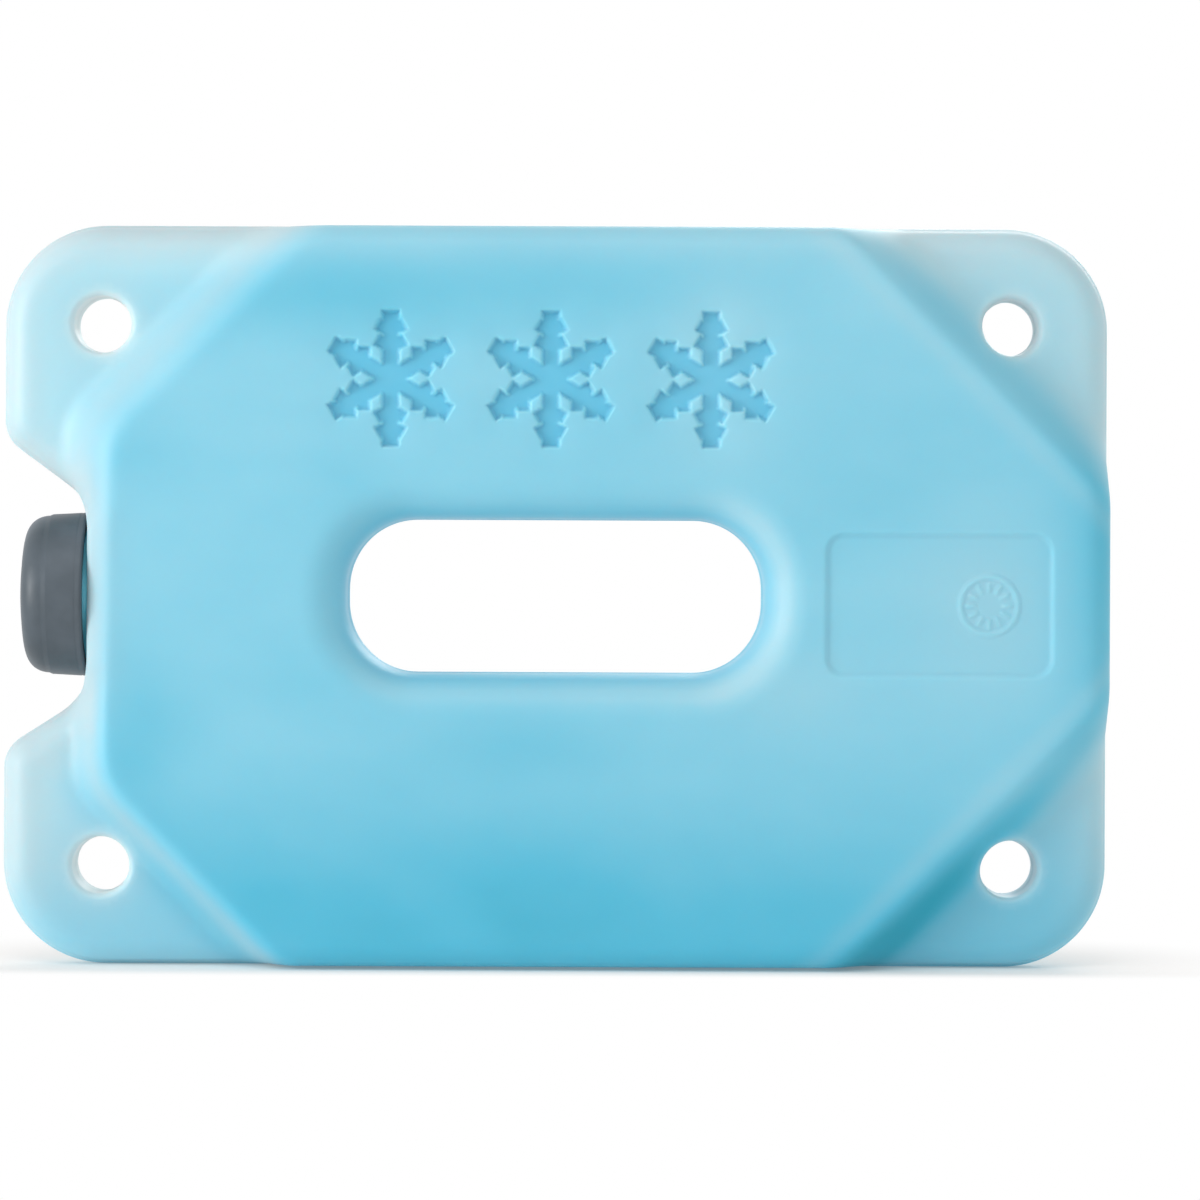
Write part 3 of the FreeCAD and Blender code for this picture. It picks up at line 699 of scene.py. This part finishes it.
def makeSeal():
    # thin disc with softened edges, spun about the long axis
    radius, r = (sealHigh.y - sealLow.y) / 2 / mm, seal["edgeRound"]
    near, far = sealHigh.x / mm, sealLow.x / mm
    profile = np.concatenate([
        [(near, 0.0)], arcRows((near - r, radius - r), r, 0, 90, 4),
        arcRows((far + r, radius - r), r, 90, 180, 4), [(far, 0.0)]])
    return (*spunSheet(profile, seal["segments"], halfHeight), None)


sealPiece = putMesh("foam_disc", [makeSeal()])
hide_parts("seal_disc")
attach(sealPiece, "root")
print("cap and seal made")


class Link:
    # an output socket of a node sheet: sums and products with numbers or other links add Math nodes
    def __init__(self, sheet, socket):
        self.sheet, self.socket = sheet, socket

    def combine(self, operation, first, second):
        return self.sheet.node("ShaderNodeMath", {"operation": operation}, {0: first, 1: second})

    def __add__(self, other):
        return self.combine("ADD", self, other)

    def __radd__(self, other):
        return self.combine("ADD", other, self)

    def __sub__(self, other):
        return self.combine("SUBTRACT", self, other)

    def __mul__(self, other):
        return self.combine("MULTIPLY", self, other)

    def __rmul__(self, other):
        return self.combine("MULTIPLY", other, self)

    def magnitude(self):
        return self.combine("ABSOLUTE", self, 0.0)

    def positive(self):
        return self.combine("MAXIMUM", self, 0.0)

    def root(self):
        return self.combine("SQRT", self, 0.0)


class Sheet:
    # node tree of one material or of the world
    def __init__(self, owner):
        owner.use_nodes = True
        self.tree = owner.node_tree
        self.tree.nodes.clear()

    def node(self, kind, settings=None, inputs=None, output=0):
        made = self.tree.nodes.new(kind)
        for key, value in (settings or {}).items():
            if key == "stops":
                ramp = made.color_ramp
                while len(ramp.elements) < len(value):
                    ramp.elements.new(0.5)
                for element, (position, colour) in zip(ramp.elements, value):
                    element.position, element.color = position, (*colour, 1)
            else:
                setattr(made, key, value)
        for key, value in (inputs or {}).items():
            if isinstance(value, Link):
                self.tree.links.new(value.socket, made.inputs[key])
            else:
                made.inputs[key].default_value = value
        return Link(self, made.outputs[output])

    def blend(self, factor, first, second):
        # From the first colour at 0 to the second at 1. A Mix node takes colours in sockets 6 and 7 and
        # gives the mixed one in socket 2.
        colours = {0: factor, 6: first, 7: second if isinstance(second, Link) else (*second, 1)}
        return self.node("ShaderNodeMix", {"data_type": "RGBA"}, colours, output=2)

    def finish(self, shader, kind="ShaderNodeOutputMaterial"):
        ending = self.tree.nodes.new(kind)
        self.tree.links.new(shader.socket, ending.inputs["Surface"])


def seen(code):
    # a colour as it is seen on a screen, from its six hex digits, in the linear values that a shader takes
    parts = [int(code[k:k + 2], 16) / 255 for k in (0, 2, 4)]
    return tuple(p / 12.92 if p <= 0.04045 else ((p + 0.055) / 1.055) ** 2.4 for p in parts)


shellFinish = dict(
    stops=((0.0, seen("2aa4bd")), (0.22, seen("5abdd8")), (0.45, seen("88cde2")),
           (0.7, seen("addce9")), (1.0, seen("c9dde4"))),
    bareAndPaintedLightColour=seen("b9cdd3"), sunkColour=seen("50bcdf"), bareAndPaintedLightShare=0.8, sunkShare=0.62,
    cloudScale=17, cloudStretch=(0.7, 1.0, 1.15), cloudRoughness=0.45, cloudDistortion=0.6,
    cloudAmount=0.26, wispScale=55, wispAmount=0.10, roughness=0.42, grainRough=0.08, cloudRough=0.06,
    index=1.5, specular=0.3, grain=2600, grainBump=0.05, grainDepth=0.0001,
    waveScale=110, waveBump=0.10, waveDepth=0.0004,
    paintedGlowColour=(0.12, 0.10, 0.08), scatterWeight=0.6, scatterRadius=(0.35, 0.9, 1.0), scatterScale=0.002)


def makeShellFinish():
    # Translucent milky plastic over blue filling: slow clouds and finer wisps shift the tone along one
    # ramp, bare places and painted light are mixed with a pale colour, sunk places with a colour of their
    # own, and the hole walls get a faint painted glow.
    f = shellFinish
    material = bpy.data.materials.new("milky_blue_shell")
    sheet = Sheet(material)
    place = sheet.node("ShaderNodeTexCoord", output="Object")
    drift = sheet.node("ShaderNodeMapping", {}, {"Vector": place, "Scale": f["cloudStretch"]})
    cloud = sheet.node("ShaderNodeTexNoise", {}, {
        "Vector": drift, "Scale": f["cloudScale"], "Detail": 3.0,
        "Roughness": f["cloudRoughness"], "Distortion": f["cloudDistortion"]})
    wisp = sheet.node("ShaderNodeTexNoise", {}, {"Vector": drift, "Scale": f["wispScale"], "Detail": 2.0})
    tone, sunk, bare, glow = (sheet.node("ShaderNodeAttribute", {"attribute_name": name}, output="Fac")
                              for name in ("tone", "sunk", "bare", "glow"))
    tone = tone + (cloud - 0.5) * f["cloudAmount"] + (wisp - 0.5) * f["wispAmount"]
    colour = sheet.node("ShaderNodeValToRGB", {"stops": f["stops"]}, {"Fac": tone})
    colour = sheet.blend(bare * f["bareAndPaintedLightShare"], colour, f["bareAndPaintedLightColour"])
    colour = sheet.blend(sunk * f["sunkShare"], colour, f["sunkColour"])
    grain = sheet.node("ShaderNodeTexNoise", {}, {"Vector": place, "Scale": f["grain"], "Detail": 2.0})
    wave = sheet.node("ShaderNodeTexNoise", {}, {"Vector": place, "Scale": f["waveScale"], "Detail": 1.0})
    slow = sheet.node("ShaderNodeBump", {}, {"Height": wave, "Distance": f["waveDepth"],
                                             "Strength": f["waveBump"]})
    bump = sheet.node("ShaderNodeBump", {}, {"Height": grain, "Distance": f["grainDepth"],
                                             "Strength": f["grainBump"], "Normal": slow})
    roughness = f["roughness"] + (grain - 0.5) * f["grainRough"] + (cloud - 0.5) * f["cloudRough"]
    sheet.finish(sheet.node("ShaderNodeBsdfPrincipled", {}, {
        "Base Color": colour, "Roughness": roughness, "Normal": bump,
        "IOR": f["index"], "Specular IOR Level": f["specular"],
        # painted glow of the hole walls
        "Emission Color": sheet.blend(glow, (0, 0, 0, 1), f["paintedGlowColour"]), "Emission Strength": 1.0,
        "Subsurface Weight": f["scatterWeight"], "Subsurface Radius": f["scatterRadius"],
        "Subsurface Scale": f["scatterScale"]}))
    return material


capFinish = dict(dark=seen("3f4a52"), light=seen("55606a"), roughness=0.46, grainRough=0.10,
                 cloudRough=0.08, index=1.5, grain=1800, grainBump=0.12, grainDepth=0.0001, cloudScale=90)


def makeCapFinish():
    # slate plastic with a fine moulded grain and a faint unevenness of colour
    f = capFinish
    material = bpy.data.materials.new("slate_cap")
    sheet = Sheet(material)
    place = sheet.node("ShaderNodeTexCoord", output="Object")
    cloud = sheet.node("ShaderNodeTexNoise", {}, {"Vector": place, "Scale": f["cloudScale"],
                                                  "Detail": 3.0})
    grain = sheet.node("ShaderNodeTexNoise", {}, {"Vector": place, "Scale": f["grain"], "Detail": 2.0})
    stops = ((0.3, f["dark"]), (0.7, f["light"]))
    colour = sheet.node("ShaderNodeValToRGB", {"stops": stops}, {"Fac": cloud})
    bump = sheet.node("ShaderNodeBump", {}, {"Height": grain, "Distance": f["grainDepth"],
                                             "Strength": f["grainBump"]})
    roughness = f["roughness"] + (grain - 0.5) * f["grainRough"] + (cloud - 0.5) * f["cloudRough"]
    sheet.finish(sheet.node("ShaderNodeBsdfPrincipled", {}, {
        "Base Color": colour, "Roughness": roughness, "Normal": bump, "IOR": f["index"]}))
    return material


sealFinish = dict(dark=seen("c9c8c0"), light=seen("e6e5de"), roughness=0.85, cellScale=1500, cellBump=0.4,
                  cellDepth=0.0002)


def makeSealFinish():
    # closed-cell foam: the distance to the nearest cell's centre gives its colour and its height
    f = sealFinish
    material = bpy.data.materials.new("foam")
    sheet = Sheet(material)
    place = sheet.node("ShaderNodeTexCoord", output="Object")
    cells = sheet.node("ShaderNodeTexVoronoi", {}, {"Vector": place, "Scale": f["cellScale"]})
    stops = ((0.0, f["dark"]), (0.6, f["light"]))
    colour = sheet.node("ShaderNodeValToRGB", {"stops": stops}, {"Fac": cells})
    bump = sheet.node("ShaderNodeBump", {}, {"Height": cells, "Distance": f["cellDepth"],
                                             "Strength": f["cellBump"]})
    sheet.finish(sheet.node("ShaderNodeBsdfPrincipled", {}, {
        "Base Color": colour, "Roughness": f["roughness"], "Normal": bump}))
    return material


shell.data.materials.append(makeShellFinish())
capPiece.data.materials.append(makeCapFinish())
sealPiece.data.materials.append(makeSealFinish())
print("finishes made")


studio = dict(floorSize=4.0, floorColour=(0.84, 0.80, 0.78), fadeAcross=0.085, fadeAlong=0.012,
              fadeFront=4.0, fadeReach=0.055, ambient=0.715, ambientColour=(1.0, 0.99, 0.975),
              floorLift=0.14, floorGlow=0.22)


def backgroundRays(sheet):
    # 1 for the rays that see the background itself, in the picture and in reflections
    paths = sheet.tree.nodes.new("ShaderNodeLightPath")
    names = ("Is Camera Ray", "Is Glossy Ray", "Is Transmission Ray")
    seenBy = [Link(sheet, paths.outputs[name]) for name in names]
    total = seenBy[0] + seenBy[1] + seenBy[2]
    return sheet.node("ShaderNodeMath", {"operation": "MINIMUM"}, {0: total, 1: 1.0})


def makeFloor():
    # flat square in the plane that the pack stands on, fading into the white background away from the pack
    half = studio["floorSize"] / 2
    corners = np.array([(x * half, y * half, 0) for x, y in squareCorners]) / mm
    floor = putMesh("floor", [(corners, np.array([(0, 1, 2), (0, 2, 3)]), None)])
    material = bpy.data.materials.new("pale_floor")
    sheet = Sheet(material)
    plain = sheet.node("ShaderNodeBsdfDiffuse", {}, {"Color": (*studio["floorColour"], 1)})
    apart = sheet.node("ShaderNodeSeparateXYZ", {}, {0: sheet.node("ShaderNodeTexCoord", output="Object")})
    across, along = (Link(sheet, apart.socket.node.outputs[name]) for name in ("X", "Y"))
    # how far a point of the floor lies from the pack's foot, counted several times over in front of it
    beside = (across.magnitude() - studio["fadeAcross"]).positive()
    behind = (along - studio["fadeAlong"]).positive()
    before = (-1 * along - studio["fadeAlong"]).positive() * studio["fadeFront"]
    reach = behind + before
    distance = (beside * beside + reach * reach).root()
    fade = sheet.node("ShaderNodeMapRange", {"interpolation_type": "SMOOTHSTEP"}, {
        "Value": distance, "From Min": 0.0, "From Max": studio["fadeReach"]})
    direct = backgroundRays(sheet)
    # the floor gives the pack more light from below than it shows itself
    lift = direct * (studio["floorLift"] - studio["floorGlow"]) + studio["floorGlow"]
    lift = sheet.node("ShaderNodeEmission", {}, {"Strength": lift})
    near = sheet.node("ShaderNodeAddShader", {}, {0: plain, 1: lift})
    white = sheet.node("ShaderNodeEmission", {}, {"Strength": 1.0})
    sheet.finish(sheet.node("ShaderNodeMixShader", {}, {0: fade * direct, 1: near, 2: white}))
    floor.data.materials.append(material)


def makeWorld():
    # even pale light, and plain white where the background itself is seen
    world = bpy.data.worlds.new("studio")
    bpy.context.scene.world = world
    sheet = Sheet(world)
    light = sheet.node("ShaderNodeBackground", {}, {"Color": (*studio["ambientColour"], 1),
                                                    "Strength": studio["ambient"]})
    white = sheet.node("ShaderNodeBackground", {}, {"Color": (1, 1, 1, 1), "Strength": 1.0})
    sheet.finish(sheet.node("ShaderNodeMixShader", {}, {0: backgroundRays(sheet), 1: light, 2: white}),
                 "ShaderNodeOutputWorld")


def aim(thing, target):
    # turns the thing's -Z, along which a lamp shines, towards the target
    thing.rotation_euler = (Vector(target) - thing.location).to_track_quat("-Z", "Y").to_euler()


lamps = dict(
    left=dict(direction=(-0.88, -0.42, 0.10), distance=1.1, size=0.5, level=0.56),
    top=dict(direction=(-0.10, -0.66, 0.75), distance=1.0, size=0.35, level=0.11),
    back=dict(direction=(0.30, 0.80, 0.45), distance=1.1, size=0.6, level=0.25))


def makeLamps():
    # A square lamp at distance d gives a white surface that faces it a brightness of watts / (pi d)^2.
    for name, lamp in lamps.items():
        data = bpy.data.lights.new(name + "_softbox", "AREA")
        data.size = lamp["size"]
        data.energy = lamp["level"] * (math.pi * lamp["distance"]) ** 2
        thing = bpy.data.objects.new(name + "_softbox", data)
        bpy.context.scene.collection.objects.link(thing)
        middle = Vector((0, 0, halfHeight * mm))
        thing.location = middle + Vector(lamp["direction"]).normalized() * lamp["distance"]
        aim(thing, middle)


# The photograph is 1200 pixels wide and high; its optical axis meets the pack a little above the middle.
view = dict(distance=0.8, frameWidth=0.2213, axisAcross=0.0003, axisUp=0.0053, centreAcross=0.0082,
            centreUp=-0.0007, roll=0.25, sensor=36)


def makeCamera():
    # The frame's width at the pack gives the lens: focal length = sensor x distance / frame width.
    data = bpy.data.cameras.new("camera")
    data.sensor_width = view["sensor"]
    data.lens = view["sensor"] * view["distance"] / view["frameWidth"]
    data.shift_x = (view["centreAcross"] - view["axisAcross"]) / view["frameWidth"]
    data.shift_y = (view["centreUp"] - view["axisUp"]) / view["frameWidth"]
    camera = bpy.data.objects.new("camera", data)
    bpy.context.scene.collection.objects.link(camera)
    camera.location = (view["axisAcross"], -view["distance"], halfHeight * mm + view["axisUp"])
    camera.rotation_euler = (math.pi / 2, math.radians(-view["roll"]), 0)
    bpy.context.scene.camera = camera


makeFloor()
makeWorld()
makeLamps()
makeCamera()
bpy.context.scene.view_settings.view_transform = "Standard"
print("stage, lamps and camera made")
